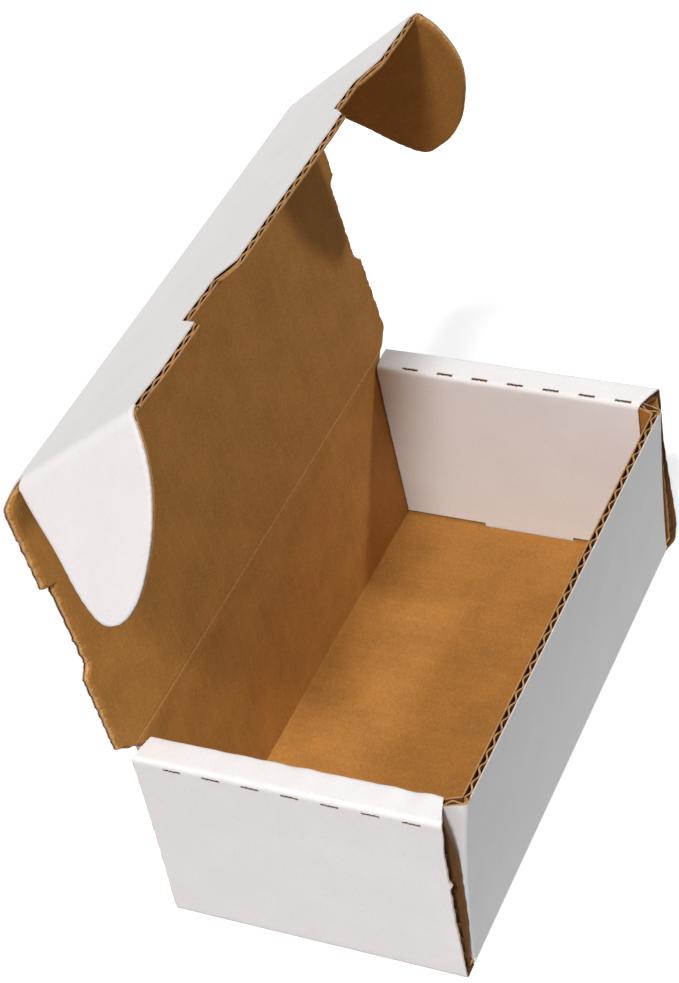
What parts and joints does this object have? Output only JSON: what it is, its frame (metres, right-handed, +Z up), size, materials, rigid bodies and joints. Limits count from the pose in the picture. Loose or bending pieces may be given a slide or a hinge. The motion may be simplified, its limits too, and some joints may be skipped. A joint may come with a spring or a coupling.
{
  "type": "card storage box",
  "caption": "Folded corrugated board storage box for trading cards, with rolled double end walls, a hinged lid, a tuck flap and two tuck-in ears, standing open.",
  "frame": {"origin": "bottom of the box, in the middle of the tray's floor", "axes": "+X along the box to its right end, +Y from the front wall to the back wall with the lid hinge, +Z up"},
  "size_m": [0.2436, 0.1254, 0.2139],
  "materials": {
    "tray_board": "white outer liner and brown kraft inner liner, matt",
    "lid_board": "brown kraft inner liner and white outer liner, matt",
    "flap_board": "white outer liner and brown kraft inner liner, matt",
    "left_ear_board": "white outer liner and brown kraft inner liner, matt",
    "right_ear_board": "brown kraft inner liner and white outer liner, matt"
  },
  "bodies": {
    "tray": {"tray": "tray_board"},
    "lid": {"lid": "lid_board"},
    "tuck_flap": {"tuck_flap": "flap_board"},
    "left_ear": {"left_ear": "left_ear_board"},
    "right_ear": {"right_ear": "right_ear_board"}
  },
  "joints": [
    {"name": "lid_hinge", "type": "hinge", "parent": "tray", "child": "lid", "pos_m": [0, 0.052, 0.0728], "axis": [-1, 0, 0], "range_deg": [-64.3, 80.7]},
    {"name": "tuck_flap_hinge", "type": "hinge", "parent": "lid", "child": "tuck_flap", "pos_m": [0, 0.06832, 0.17247], "axis": [-1, 0, 0], "range_deg": [-29.5, 60.5]},
    {"name": "left_ear_hinge", "type": "hinge", "parent": "tuck_flap", "child": "left_ear", "pos_m": [-0.0985, 0.0435, 0.19243], "axis": [0, 0.7793, -0.6266], "range_deg": [-25, 65]},
    {"name": "right_ear_hinge", "type": "hinge", "parent": "tuck_flap", "child": "right_ear", "pos_m": [0.0985, 0.0435, 0.19243], "axis": [0, -0.7793, 0.6266], "range_deg": [-25, 65]}
  ]
}
